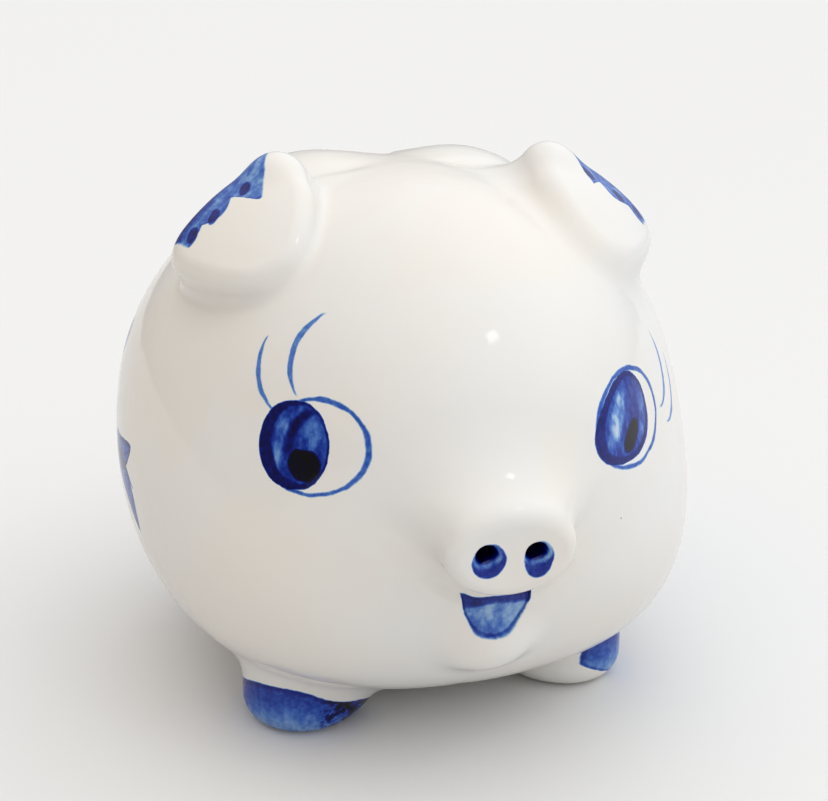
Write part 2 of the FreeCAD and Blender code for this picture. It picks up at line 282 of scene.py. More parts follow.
def mouth_plane(p):
    q = (p - MOUTH_AT) @ MOUTH_AXES
    return q[..., 0], q[..., 1], q[..., 2]


def mouth_edge(x, y):
    """Negative inside the smiling shield of the mouth."""
    smile = MOUTH_BOWL[0] * x**2 + MOUTH_BOWL[1] * x**4 - (y + MOUTH_LOW)
    return smooth_max(smile / np.sqrt(1 + (MOUTH_EVEN * x) ** 2), y - MOUTH_TOP, 1.6)


def mouth_field(p, skin):
    """The mouth is sunk by an even depth below the skin, whose field is given."""
    x, y, z = mouth_plane(p)
    return np.maximum(np.maximum(mouth_edge(x, y), -(skin + MOUTH_DEPTH)), -z - 8)


def slot_field(p):
    run = np.maximum(np.abs(p[..., 1] - SLOT_BACK) - SLOT_HALF_RUN, 0)
    return np.maximum(np.hypot(p[..., 0], run) - SLOT_HALF_WIDTH, SLOT_BOTTOM - p[..., 2])


def nostril_field(p):
    q = (p - SNOUT_AT) @ SNOUT_AXES
    d = None
    for (hx, hy), (ox, oy), _ in NOSTRILS:
        dish = ellipsoid(q, ((hx + ox) / 2, (hy + oy) / 2 - 0.3, 1.7), (2.5, 2.8, 2.9))
        hole = capsule(q, (hx, hy, 1.0), (hx, hy + 0.6, -5), 1.85, 1.5)
        both = smooth_min(dish, hole, 0.8)
        d = both if d is None else np.minimum(d, both)
    return d


def well_field(p):
    """The belly's hole for the stopper, with its land."""
    r = np.hypot(p[..., 0], p[..., 1] - WELL_BACK)
    hole = np.maximum(r - HOLE_RADIUS, p[..., 2] - HOLE_TOP)
    return np.minimum(hole, np.maximum(r - LAND_RADIUS, p[..., 2] - LAND_TOP))


def pig(p):
    """The whole fired pig: negative in the clay, positive in the air and in the coin chamber."""
    d = outer(p)
    d = smooth_max(d, -capsule(mirrored(p), *DIMPLE), 2.4)
    d = smooth_max(d, -mouth_field(p, d), 0.7)
    d = smooth_max(d, -nostril_field(p), 0.7)
    d = np.maximum(d, -(body(p) + WALL))
    d = smooth_max(d, -slot_field(p), 1.4)
    d = smooth_max(d, -well_field(p), 0.5)
    return np.maximum(d, -p[..., 2])


# ---- meshing
# the box that is meshed, the grid's step in it, and how often the mesh is then refined
LOW, HIGH = (-60, -72, -1.3), (60, 71, 109)
STEP = 1.3
REFINEMENTS = 3
# scales every edge length that fine_step asks for
EDGE_SCALE = 1.35
QUICK_SCALE = 1.0
# a field is worked out on every COARSE-th grid point, and then on all that are NEAR the surface
COARSE = 3
NEAR = 7.0


def in_slabs(field, points, size=120000):
    """The field at the points, worked out a slab at a time to spare memory."""
    flat = points.reshape(-1, 3)
    parts = [field(flat[at:at + size]) for at in range(0, len(flat), size)]
    return np.concatenate(parts).reshape(points.shape[:-1])


def halved(points, quads):
    """Each quad as two triangles, cut along its shorter diagonal."""
    across = np.linalg.norm(points[quads[:, 0]] - points[quads[:, 2]], axis=1)
    other = np.linalg.norm(points[quads[:, 1]] - points[quads[:, 3]], axis=1)
    short = (across < other)[:, None]
    one = np.where(short, quads[:, [0, 1, 2]], quads[:, [0, 1, 3]])
    two = np.where(short, quads[:, [0, 2, 3]], quads[:, [1, 2, 3]])
    return np.concatenate([one, two])


def surface_net(field, low, high, step):
    """A closed mesh of field = 0, one point in each grid cell that the surface crosses."""
    axes = [np.arange(a, b + step, step) for a, b in zip(low, high)]
    grid = np.stack(np.meshgrid(*axes, indexing="ij"), -1)
    rough = in_slabs(field, grid[::COARSE, ::COARSE, ::COARSE])
    for axis in range(3):
        rough = np.repeat(rough, COARSE, axis)
    value = rough[tuple(slice(0, size) for size in grid.shape[:3])]
    near = np.abs(value) < NEAR
    value[near] = in_slabs(field, grid[near])
    inside = value < 0
    shape = np.array(value.shape)
    total = np.zeros((shape.prod(), 3))
    count = np.zeros(shape.prod())

    def cell(index):
        return np.ravel_multi_index(index.T, shape)

    quads = []
    for axis in range(3):
        ahead = [slice(None)] * 3
        behind = [slice(None)] * 3
        ahead[axis], behind[axis] = slice(1, None), slice(None, -1)
        a, b = inside[tuple(behind)], inside[tuple(ahead)]
        index = np.argwhere(a != b)
        first = value[tuple(index.T)]
        reach = index.copy()
        reach[:, axis] += 1
        t = first / (first - value[tuple(reach.T)])
        crossing = grid[tuple(index.T)]
        crossing[:, axis] += t * step
        one, two = (axis + 1) % 3, (axis + 2) % 3
        around = []
        for shift_one, shift_two in ((0, 0), (1, 0), (1, 1), (0, 1)):
            corner = index.copy()
            corner[:, one] -= shift_one
            corner[:, two] -= shift_two
            number = cell(corner)
            np.add.at(total, number, crossing)
            np.add.at(count, number, 1)
            around.append(number)
        quad = np.stack(around, 1)
        leaving = inside[tuple(index.T)]
        quads.append(np.where(leaving[:, None], quad, quad[:, ::-1]))
    quads = np.concatenate(quads)
    used = np.flatnonzero(count)
    renumber = np.full(len(count), -1)
    renumber[used] = np.arange(len(used))
    points = total[used] / count[used][:, None]
    return points, halved(points, renumber[quads])


def slope(field, points, reach=0.04):
    """The gradient of the field, by central differences."""
    steps = reach * np.eye(3)
    parts = [in_slabs(field, points + s) - in_slabs(field, points - s) for s in steps]
    return np.stack(parts, -1) / (2 * reach)


def settle(field, points, rounds=3, limit=0.6):
    """Moves points onto field = 0 along its slope, by at most the limit each round."""
    for _ in range(rounds):
        value = in_slabs(field, points)
        g = slope(field, points)
        move = -value[:, None] * g / np.maximum((g**2).sum(1), 0.05)[:, None]
        length = np.linalg.norm(move, axis=1)[:, None]
        points = points + move * np.minimum(1, limit / np.maximum(length, 1e-9))
    return points


def edge_table(tris, count):
    """Every edge once, and for each triangle the numbers of its three edges."""
    ends = np.sort(tris[:, [0, 1, 1, 2, 2, 0]].reshape(-1, 2), axis=1)
    keys, number = np.unique(ends[:, 0] * count + ends[:, 1], return_inverse=True)
    return keys // count, keys % count, number.reshape(-1, 3)


def split_edges(tris, middle):
    """Splits triangles whose edges have a middle point; middle is -1 where an edge stays whole."""
    marked = middle >= 0
    count = marked.sum(1)
    parts = [tris[count == 0]]
    for turn in range(3):
        order = np.array([0, 1, 2, 0, 1, 2])[turn:turn + 3]
        t, m, f = tris[:, order], middle[:, order], marked[:, order]
        one = (count == 1) & f[:, 0]
        parts += [np.stack([t[one, 0], m[one, 0], t[one, 2]], 1),
                  np.stack([m[one, 0], t[one, 1], t[one, 2]], 1)]
        two = (count == 2) & f[:, 0] & f[:, 1]
        parts += [np.stack([m[two, 0], t[two, 1], m[two, 1]], 1),
                  np.stack([t[two, 0], m[two, 0], m[two, 1]], 1),
                  np.stack([t[two, 0], m[two, 1], t[two, 2]], 1)]
    three = count == 3
    t, m = tris[three], middle[three]
    parts += [np.stack([t[:, 0], m[:, 0], m[:, 2]], 1), np.stack([m[:, 0], t[:, 1], m[:, 1]], 1),
              np.stack([m[:, 2], m[:, 1], t[:, 2]], 1), m]
    return np.concatenate(parts)


def refine(points, tris, wanted):
    """Halves the edges longer than wanted at their middles."""
    start, end, number = edge_table(tris, len(points))
    middle = (points[start] + points[end]) / 2
    long = np.linalg.norm(points[start] - points[end], axis=1) > wanted(middle)
    made = np.full(len(start), -1)
    made[long] = len(points) + np.arange(long.sum())
    return np.concatenate([points, middle[long]]), split_edges(tris, made[number])


def relax(field, points, tris, where):
    """Evens out the points of a fine area along the surface."""
    start, end, _ = edge_table(tris, len(points))
    total = np.zeros_like(points)
    count = np.zeros(len(points))
    for a, b in ((start, end), (end, start)):
        np.add.at(total, a, points[b])
        np.add.at(count, a, 1)
    moved = points.copy()
    moved[where] = 0.5 * points[where] + 0.5 * total[where] / count[where][:, None]
    moved[where] = settle(field, moved[where], 2)
    return moved


def cut_along(points, tris, values, column):
    """Splits the triangles that one column of values crosses, along its zero line."""
    value = values[:, column]
    start, end, number = edge_table(tris, len(points))
    crossed = value[start] * value[end] < 0
    start, end = start[crossed], end[crossed]
    t = (value[start] / (value[start] - value[end]))[:, None]
    made = np.full(len(crossed), -1)
    made[crossed] = len(points) + np.arange(crossed.sum())
    new_values = values[start] * (1 - t) + values[end] * t
    new_values[:, column] = 0
    return (np.concatenate([points, points[start] * (1 - t) + points[end] * t]),
            split_edges(tris, made[number]), np.concatenate([values, new_values]))


def biggest(tris, chosen):
    """Of the chosen triangles, the largest set that hangs together."""
    numbers = np.flatnonzero(chosen)
    label = np.arange(tris.max() + 1)
    part = tris[numbers]
    while True:
        low = label[part].min(1)
        before = label.copy()
        for column in range(3):
            np.minimum.at(label, part[:, column], low)
        label = label[label]
        if (label == before).all():
            break
    names, size = np.unique(label[part[:, 0]], return_counts=True)
    kept = np.zeros(len(tris), bool)
    kept[numbers[label[part[:, 0]] == names[size.argmax()]]] = True
    return kept


def rims(tris):
    """The closed rims of an open piece of mesh, each as a list of points in order."""
    edges = tris[:, [0, 1, 1, 2, 2, 0]].reshape(-1, 2)
    there = set(map(tuple, edges.tolist()))
    onward = {}
    for a, b in sorted(there):
        if (b, a) not in there:
            onward.setdefault(a, []).append(b)
    loops = []
    while onward:
        first = next(iter(onward))
        loop, here = [], first
        while not loop or here != first:
            loop.append(here)
            following = onward[here].pop()
            if not onward[here]:
                del onward[here]
            here = following
        loops.append(loop)
    return loops


def lid(points, loop, rings=4):
    """Closes a rim with rings of points towards its middle; faces look out of the open piece."""
    edge = points[loop]
    centre = edge.mean(0)
    count = len(loop)
    made = [edge + (centre - edge) * (ring / rings) for ring in range(1, rings)]
    new = np.concatenate(made + [centre[None]])
    rows = [np.array(loop)] + [len(points) + count * ring + np.arange(count)
                               for ring in range(rings - 1)]
    middle = len(points) + len(new) - 1
    tris = []
    for outside, within in zip(rows, rows[1:]):
        a, b = outside, np.roll(outside, -1)
        c, d = within, np.roll(within, -1)
        tris += [np.stack([b, a, c], 1), np.stack([b, c, d], 1)]
    last = rows[-1]
    tris.append(np.stack([np.roll(last, -1), last, np.full(count, middle)], 1))
    return np.concatenate([points, new]), np.concatenate(tris)


def fine_step(p):
    """How long a mesh edge may be, by what detail is near."""
    m = mirrored(p)
    wanted = np.full(len(p), 9.0)
    face = np.linalg.norm(m - SNOUT_AT, axis=-1)
    in_mouth = mouth_edge(*mouth_plane(p)[:2]) < 1.3
    rules = (
        (face < 17, 0.8),
        ((np.abs(nostril_field(p)) < 1.2) & (face < 12), 0.32),
        (in_mouth & (np.linalg.norm(p - MOUTH_AT, axis=-1) < 12), 0.34),
        (ear_field(m) < 2.0, 0.75),
        ((np.abs(slot_field(p)) < 2.4) & (p[..., 2] > 74), 0.6),
        ((np.abs(well_field(p)) < 1.2) & (p[..., 2] < 16), 0.75),
        ((p[..., 2] < 16) & (body(p) > -1.5), 0.85),
        (tail_field(p) < 2.0, 0.6),
    )
    for near, size in rules:
        wanted = np.where(near, np.minimum(wanted, size), wanted)
    return wanted * QUICK_SCALE * EDGE_SCALE


points, tris = surface_net(pig, LOW, HIGH, STEP)
points = settle(pig, points)
for _ in range(REFINEMENTS):
    before = len(points)
    points, tris = refine(points, tris, fine_step)
    points[before:] = settle(pig, points[before:])
    fine = fine_step(points) < 3
    points = relax(pig, points, tris, fine)

BODY = "body_shell"
# a feature's own surface is where its field is below the body's; it is cut off along that line
REGIONS = {
    "snout": lambda p: snout_field(p) - body(p),
    "ear_left": lambda p: np.maximum(ear_field(mirrored(p)) - body(p), -p[..., 0]),
    "ear_right": lambda p: np.maximum(ear_field(mirrored(p)) - body(p), p[..., 0]),
    "tail": lambda p: tail_field(p) - body(p),
}
FOOT_CUT_RADIUS = 18


def foot_region(p, name):
    across, back = FEET[name]
    r = np.hypot(p[..., 0] - across, p[..., 1] - back)
    return np.maximum(foot_field(p, name) - body(p), r - FOOT_CUT_RADIUS)


for foot in FEET:
    REGIONS[foot] = lambda p, name=foot: foot_region(p, name)
values = np.stack([in_slabs(region, points) for region in REGIONS.values()], 1)
values = np.where(np.abs(values) < 1e-4, 1e-4, values)
for column in range(len(REGIONS)):
    points, tris, values = cut_along(points, tris, values, column)
points = settle(pig, points, 1)
outside = in_slabs(body, points[tris].mean(1)) > -2.5
taken = np.zeros(len(tris), bool)
pieces = {}
for column, name in enumerate(REGIONS):
    mine = biggest(tris, (values[tris, column].sum(1) < 0) & outside & ~taken)
    taken |= mine
    pieces[name] = tris[mine]
skin = slope(pig, points)
skin /= np.linalg.norm(skin, axis=1)[:, None]
body_tris = [tris[~taken]]
for name, part in pieces.items():
    closed = [part]
    for loop in rims(part):
        points, closing = lid(points, loop)
        closed.append(closing)
        body_tris.append(closing[:, ::-1])
    pieces[name] = np.concatenate(closed)
pieces[BODY] = np.concatenate(body_tris)
normals = np.concatenate([skin, np.tile([0, 0, 1.0], (len(points) - len(skin), 1))])

# ---- painting in the shader
# Colours are drawn by arithmetic on the surface's own place, in millimetres. A paint function gives
# the density of the cobalt there; streaks, 0 to 1, are the brush's.
ACROSS, BACK, UP = (1, 0, 0), (0, 1, 0), (0, 0, 1)
# how strongly red, green and blue are taken up, and how much faster in a thick layer
PIGMENT = ((2.6, 1.0), (1.62, 1.1), (0.42, 1.35))


class Num:
    """A number in the shader tree that is being built; arithmetic on it adds Math nodes."""

    tree = None

    def __init__(self, socket):
        self.socket = socket

    def __add__(self, other):
        return calc("ADD", self, other)

    def __sub__(self, other):
        return calc("SUBTRACT", self, other)

    def __mul__(self, other):
        return calc("MULTIPLY", self, other)

    def __truediv__(self, other):
        return calc("DIVIDE", self, other)

    def __rsub__(self, other):
        return calc("SUBTRACT", other, self)

    __radd__ = __add__


def put(socket, value):
    if isinstance(value, Num):
        Num.tree.links.new(value.socket, socket)
    else:
        socket.default_value = value


def calc(kind, *values):
    node = Num.tree.nodes.new("ShaderNodeMath")
    node.operation = kind
    for socket, value in zip(node.inputs, values):
        put(socket, value)
    return Num(node.outputs[0])


def vector(kind, *values):
    node = Num.tree.nodes.new("ShaderNodeVectorMath")
    node.operation = kind
    for socket, value in zip([s for s in node.inputs if s.enabled], values):
        put(socket, value)
    return Num(node.outputs["Value" if kind == "DOT_PRODUCT" else "Vector"])


def dot(place, direction):
    return vector("DOT_PRODUCT", place, tuple(direction))


def scaled(value, factor):
    out = vector("SCALE", value)
    put(out.socket.node.inputs["Scale"], factor)
    return out


def ramp(x, low, high, bottom=0.0, top=1.0):
    """Smoothly from bottom at low to top at high."""
    node = Num.tree.nodes.new("ShaderNodeMapRange")
    node.interpolation_type = "SMOOTHSTEP"
    for name, value in (("Value", x), ("From Min", low), ("From Max", high),
                        ("To Min", bottom), ("To Max", top)):
        put(node.inputs[name], value)
    return Num(node.outputs["Result"])


def noise(place, scale, detail=2.0, colour=False, stretch=None):
    if stretch is not None:
        place = vector("MULTIPLY", place, stretch)
    node = Num.tree.nodes.new("ShaderNodeTexNoise")
    put(node.inputs["Vector"], place)
    node.inputs["Scale"].default_value = scale
    node.inputs["Detail"].default_value = detail
    return Num(node.outputs["Color" if colour else "Fac"])


def blend(factor, first, second):
    """From the first colour to the second as the factor goes from 0 to 1."""
    node = Num.tree.nodes.new("ShaderNodeMix")
    node.data_type = "RGBA"
    for socket in node.inputs:
        if socket.enabled and socket.name == "Factor":
            put(socket, factor)
        if socket.type == "RGBA":
            socket.default_value = (*(first if socket.name == "A" else second), 1)
    return Num([socket for socket in node.outputs if socket.type == "RGBA"][0])


def cover(distance, soft=0.28):
    """1 inside a shape whose signed distance is given, with a soft glazed edge."""
    return ramp(distance, soft * 0.6, -soft * 0.6)


def least(*values):
    out = values[0]
    for value in values[1:]:
        out = calc("MINIMUM", out, value)
    return out


def most(*values):
    out = values[0]
    for value in values[1:]:
        out = calc("MAXIMUM", out, value)
    return out


def size_of(a, b):
    return calc("SQRT", a * a + b * b)


def blob(a, b, centre, radii, tilt=0.0, scale=1.0):
    """Roughly the signed distance to an ellipse, in millimetres if scale is a unit's length."""
    cos, sin = math.cos(tilt), math.sin(tilt)
    da, db = a - centre[0], b - centre[1]
    x = da * (cos / radii[0]) + db * (sin / radii[0])
    y = db * (cos / radii[1]) - da * (sin / radii[1])
    return (size_of(x, y) - 1.0) * (scale * 2 * radii[0] * radii[1] / (radii[0] + radii[1]))


def along(u, v, start, end):
    """0 at start and 1 at end."""
    run = (end[0] - start[0], end[1] - start[1])
    square = run[0] ** 2 + run[1] ** 2
    return (u - start[0]) * (run[0] / square) + (v - start[1]) * (run[1] / square)


def arc_gap(u, v, start, middle, end):
    """Signed distance to the circle through three points."""
    (ax, ay), (bx, by), (cx, cy) = start, middle, end
    d = 2 * (ax * (by - cy) + bx * (cy - ay) + cx * (ay - by))
    sa, sb, sc = ax * ax + ay * ay, bx * bx + by * by, cx * cx + cy * cy
    ox = (sa * (by - cy) + sb * (cy - ay) + sc * (ay - by)) / d
    oy = (sa * (cx - bx) + sb * (ax - cx) + sc * (bx - ax)) / d
    return size_of(u - ox, v - oy) - math.hypot(ax - ox, ay - oy)


def bow_side(u, v, start, middle, end):
    """How far a place is to the bowed side of the straight line from start to end."""
    run = np.subtract(end, start)
    length = math.hypot(*run)
    bow = run[0] * (middle[1] - start[1]) - run[1] * (middle[0] - start[0])
    sign = math.copysign(1 / length, bow)
    return (v - start[1]) * (run[0] * sign) - (u - start[0]) * (run[1] * sign)


def stroke(u, v, start, middle, end, width, thin=0.35):
    """A brush line along an arc that tapers at both ends, 0 to 1."""
    t = along(u, v, start, end)
    half = ramp(t, -0.02, 0.3, thin * width / 2, width / 2)
    half = least(half, ramp(t, 1.0, 0.75, thin * width / 2, width / 2))
    gap = calc("ABSOLUTE", arc_gap(u, v, start, middle, end))
    inside = least(ramp(t, -0.04, 0.02), ramp(t, 1.03, 0.97),
                   ramp(bow_side(u, v, start, middle, end), -width - 0.5, -width))
    return cover(gap - half, 0.3) * inside


def leaf(u, v, base, tip, wide, bend, streaks):
    """A painted leaf: pale wash, darker rim and a vein; bend bows it sideways."""
    mid = ((base[0] + tip[0]) / 2 - bend * (tip[1] - base[1]),
           (base[1] + tip[1]) / 2 + bend * (tip[0] - base[0]))
    t = along(u, v, base, tip)
    body_line = calc("MAXIMUM", t * (1.0 - t) * 4.0, 0.0)
    half = calc("POWER", body_line, 0.75) * (wide / 2)
    gap = calc("ABSOLUTE", arc_gap(u, v, base, mid, tip))
    d = gap - half
    within = least(ramp(t, -0.02, 0.02), ramp(t, 1.02, 0.98),
                   ramp(bow_side(u, v, base, mid, tip), -wide - 0.5, -wide))
    wash = cover(d) * (0.85 + streaks * 0.7)
    rim = cover(calc("ABSOLUTE", d + 0.35) - 0.34) * 1.5
    vein = cover(gap - 0.22) * 0.9
    return (wash + rim + vein) * within


def touch(u, v, middle):
    """A small round touch of the brush."""
    return cover(size_of(u - middle[0], v - middle[1]) - 0.85) * 1.5


def flower(u, v, centre, reach, petals, streaks):
    """An open flower: petals with dark rims, rays, and a dotted heart."""
    du, dv = u - centre[0], v - centre[1]
    r = size_of(du, dv)
    turn = calc("ARCTAN2", dv, du)
    lobes = calc("ABSOLUTE", calc("COSINE", turn * (petals / 2)))
    edge = calc("POWER", lobes, 0.45) * (reach * 0.55) + reach * 0.45
    d = r - edge
    wash = cover(d) * ramp(r, reach * 0.25, reach, 1.3, 0.25) * (0.4 + streaks * 0.8)
    rim = cover(calc("ABSOLUTE", d + 0.4) - 0.36) * 1.3
    rays = calc("COSINE", turn * (petals * 4.0))
    rays = cover(d + 0.8) * ramp(rays, 0.45, 0.9) * ramp(r, reach * 0.75, reach * 0.3) * 0.7
    heart = cover(r - reach * 0.24) * 2.2
    ring = cover(calc("ABSOLUTE", r - reach * 0.34) - 0.45)
    dots = ring * ramp(calc("COSINE", turn * (petals * 2.0)), 0.1, 0.5) * 1.4
    return wash + rim + rays + heart + dots


def local(place, centre, axes):
    """The place's coordinates along the axes, from the centre."""
    offset = vector("SUBTRACT", place, tuple(centre))
    return [dot(offset, axis) for axis in axes]


# an eye's middle on the head, the skin's outward direction there, and its outline in the skin's
# plane: the ellipse's middle and two conjugate radii. Both eyes look to the pig's right.
EYES = (
    {"at": (-27.8, -48.3, 63.7), "out": (-0.671, -0.701, 0.241),
     "middle": (-0.8, -0.2), "wide": (10.1, 1.5), "tall": (-1.1, 7.8)},
    {"at": (26.2, -49.5, 64.4), "out": (0.652, -0.718, 0.245),
     "middle": (2.4, -0.4), "wide": (10.9, -2.6), "tall": (4.6, 7.8)},
)
# lashes in each eye's plane: start, middle, end, width
LASHES = (
    (((-6.0, 8.1), (-8.2, 13.0), (-4.5, 21.5), 1.15),
     ((-10.1, 4.7), (-14.4, 9.6), (-14.6, 16.3), 0.9)),
    (((17.2, -2.5), (23.8, 1.2), (24.9, 9.9), 1.1),
     ((19.4, -5.9), (28.2, -1.6), (30.9, 4.4), 0.9)),
)


def left_iris(a, b, unit_mm, streaks):
    """The eye on the picture's left; a and b are in units of its outline, each unit_mm long."""
    rim = blob(a, b, (-0.38, 0.04), (0.69, 0.95), 0.05, unit_mm)
    well = blob(a, b, (-0.27, 0.06), (0.55, 0.84), 0.05, unit_mm)
    inside, inner = cover(rim), cover(well, 0.5)
    shade = 1.4 + streaks * 0.9
    shade = shade - cover(blob(a, b, (-0.63, 0.12), (0.13, 0.6), -0.1, unit_mm), 1.0) * 0.75
    shade = shade - cover(blob(a, b, (0.0, 0.22), (0.15, 0.4), 0.12, unit_mm), 1.6) * 0.6
    bar = arc_gap(a, b, (-0.08, 0.72), (-0.36, 0.4), (-0.5, -0.2))
    bar = cover(calc("ABSOLUTE", bar) * unit_mm - 0.75, 0.9) * ramp(b, -0.3, 0.0)
    bar = bar * ramp(b, 0.85, 0.65)
    pupil = blob(a, b, (-0.17, -0.38), (0.30, 0.36), 0.25, unit_mm)
    flat = (b + 0.08 + (a + 0.15) * 0.12) * unit_mm
    pupil = cover(most(pupil, flat), 0.5)
    return inside * (1.0 - inner) * 3.4 + inner * (shade + bar * 1.9 + pupil * 4.5)


def right_iris(a, b, unit_mm, streaks):
    """The eye on the picture's right, in the same units."""
    wide = a * (1.0 + b * 0.22)
    rim = blob(wide, b, (-0.2, 0.0), (0.80, 0.93), 0.0, unit_mm)
    well = blob(wide, b, (-0.14, 0.02), (0.66, 0.80), 0.0, unit_mm)
    inside, inner = cover(rim), cover(well, 0.5)
    shade = 1.3 + streaks * 0.9
    shade = shade - cover(blob(wide, b, (-0.47, 0.0), (0.2, 0.58), 0.0, unit_mm), 1.6) * 1.15
    shade = shade - cover(blob(wide, b, (0.38, 0.0), (0.12, 0.6), -0.1, unit_mm), 1.6) * 0.5
    pupil = blob(a, b, (0.03, -0.37), (0.19, 0.33), -0.3, unit_mm)
    return inside * (1.0 - inner) * 2.7 + inner * (shade + cover(pupil, 0.8) * 4.5)


def paint_eye(place, number, streaks):
    eye = EYES[number]
    right = unit(np.cross(UP, eye["out"]))
    up = np.cross(eye["out"], right)
    u, v, w = local(place, eye["at"], (right, up, eye["out"]))
    (wx, wy), (tx, ty) = eye["wide"], eye["tall"]
    turn = wx * ty - wy * tx
    du, dv = u - eye["middle"][0], v - eye["middle"][1]
    a = du * (ty / turn) - dv * (tx / turn)
    b = dv * (wx / turn) - du * (wy / turn)
    unit_mm = math.sqrt(turn)
    gap = calc("ABSOLUTE", size_of(a, b) - 1.0) * unit_mm
    thin = ramp(noise(place, 0.16, 1.0), 0.35, 0.65, 0.30, 0.48)
    ring = cover(gap - thin, 0.34) * 1.25
    iris = (left_iris, right_iris)[number](a, b, unit_mm, streaks)
    total = most(iris, ring)
    for start, middle, end, width in LASHES[number]:
        total = total + stroke(u, v, start, middle, end, width) * 0.95
    return total * ramp(w, -22.0, -18.0)


def paint_mouth(place, streaks):
    x, y, z = local(place, MOUTH_AT, MOUTH_AXES.T)
    square = x * x
    curve = square * MOUTH_BOWL[0] + square * square * MOUTH_BOWL[1] - (y + MOUTH_LOW)
    curve = curve / calc("SQRT", square * MOUTH_EVEN**2 + 1.0)
    top = y - (MOUTH_TOP + 0.2)
    inside = cover(most(curve, top) - 0.25, 0.4)
    wash = 0.45 + streaks * 0.75
    rim = ramp(curve, -0.35, 0.0, 0.0, 0.8)
    # band darkens the top of the mouth just under the snout: dark paint, and painted shade under
    # the snout's overhang
    band = ramp(y + calc("ABSOLUTE", x) * 0.12, 1.1, 2.2, 0.0, 1.6)
    where = ramp(z, -6.0, -4.0) * ramp(z, 9.0, 7.0)
    return inside * (wash + rim + band) * where


def paint_flank(place, axis_side, streaks):
    """The flower and leaves on one flank, drawn from the side; axis_side is 1 on the left."""
    x = dot(place, (axis_side, 0, 0))
    u = dot(place, BACK)
    v = dot(place, UP)
    total = flower(u, v, (20.0, 52.0), 12.5, 6, streaks)
    leaves = (
        ((9.0, 50.0), (-7.4, 51.5), 6.4, 0.16), ((9.5, 46.0), (-10.2, 36.0), 6.2, -0.18),
        ((31.0, 54.5), (45.0, 60.0), 5.4, -0.16), ((30.5, 47.0), (45.0, 37.0), 6.0, 0.16),
        ((15.5, 63.5), (13.0, 71.5), 4.0, 0.16), ((26.0, 63.5), (34.0, 75.0), 5.0, -0.18),
        ((15.0, 41.0), (6.0, 26.5), 5.0, -0.16), ((25.5, 41.0), (35.0, 27.0), 5.0, 0.16),
    )
    for base, tip, wide, bend in leaves:
        total = total + leaf(u, v, base, tip, wide, bend, streaks)
    curls = (
        ((4.0, 52.0), (-3.0, 47.0), (-9.0, 44.0)), ((20.0, 38.0), (19.0, 29.0), (22.0, 22.0)),
        ((20.0, 66.0), (19.0, 74.0), (21.5, 81.0)), ((37.0, 51.0), (44.0, 50.0), (50.0, 47.0)),
    )
    for start, middle, end in curls:
        total = total + stroke(u, v, start, middle, end, 0.9)
    for middle in ((21.8, 84.0), (52.5, 45.0), (22.8, 19.0),
                   (50.0, 56.0), (38.5, 68.0), (38.0, 33.0)):
        total = total + touch(u, v, middle)
    return total * ramp(x, 18.0, 24.0)


def paint_rump(place, streaks):
    """Two leaves and dots on either side of the tail."""
    x = calc("ABSOLUTE", dot(place, ACROSS))
    y = dot(place, BACK)
    z = dot(place, UP)
    total = leaf(x, z, (9.5, 60.0), (20.5, 70.5), 5.0, -0.15, streaks)
    total = total + leaf(x, z, (10.0, 54.0), (22.0, 46.5), 5.0, 0.15, streaks)
    total = total + stroke(x, z, (9.0, 66.5), (12.5, 72.0), (12.0, 79.0), 0.9)
    for middle in ((11.5, 81.5), (24.0, 73.0), (25.2, 44.5)):
        total = total + touch(x, z, middle)
    return total * ramp(y, 30.0, 36.0)


def paint_nostrils(place, streaks):
    x, y, z = local(place, SNOUT_AT, SNOUT_AXES.T)
    total = 0.0
    for hole, middle, radii in NOSTRILS:
        ring = size_of(x - hole[0], y - hole[1])
        inside = cover(blob(x, y, middle, radii), 0.34)
        # pale is a paler, mottled ring round each hole: a painted highlight, the glaze catching
        # light on the hole's lip
        pale = ramp(ring, 1.75, 2.15) * ramp(ring, 2.9, 2.3)
        shade = 1.9 + streaks * 0.5 - pale * (0.4 + streaks * 1.5)
        # inside each hole the cobalt is made near black: dark paint, and painted shade in the depth
        # of the hole
        total = total + inside * (shade + ramp(ring, 1.95, 1.4) * 3.0)
    return total * ramp(z, -9.0, -7.0)


def paint_ear(place, axis_side, first, deeper, streaks):
    """A scalloped band with three dark spots along the fold of the left (1) or right (-1) ear.

    The band starts at first, in millimetres along the fold, and deeper widens it there.
    """
    flipped = vector("MULTIPLY", place, (axis_side, 1, 1))
    c, h, w = local(flipped, EAR_TOP, (EAR_FOLD, EAR_DOWN, EAR_OUT))
    scallop = calc("ABSOLUTE", calc("SINE", (c - 11.3) * (math.pi / 7.2)))
    edge = ramp(c, 9.0, 11.5, 5.6 + deeper, 0.9 + deeper) + ramp(c, 15.0, 20.0, 0.0, -1.4)
    edge = edge + scallop * 1.4
    d = h - edge
    wash = 0.55 + streaks * 0.75
    rim = ramp(h, -1.5, -4.0, 0.0, 1.4)
    total = cover(d, 0.4) * (wash + rim + ramp(d, -0.9, -0.1, 0.0, 0.45))
    for spot, size in (((8.6, 2.1), 1.35), ((16.0, 0.9), 1.3), ((20.8, -0.6), 1.3)):
        total = total + cover(blob(c, h, spot, (size * 1.25, size * 0.8), 0.5), 0.5) * 1.9
    behind = cover(-6.0 - scallop * 1.5 - w, 0.4)
    return total * behind * ramp(c - h * 1.2, first - 0.4, first + 0.4) * ramp(c, 23.4, 22.6)


# a foot's patch: its height, how far round the front it reaches in radians, how far its top drops
# there, and how much less far it reaches at the sole
PATCHES = {"front_left_foot": (11.8, 1.62, 0.0, 0.85), "front_right_foot": (10.8, 2.9, 4.4, 0.0),
           "rear_left_foot": (12.0, 1.6, 3.0, 0.3), "rear_right_foot": (12.0, 1.6, 3.0, 0.3)}


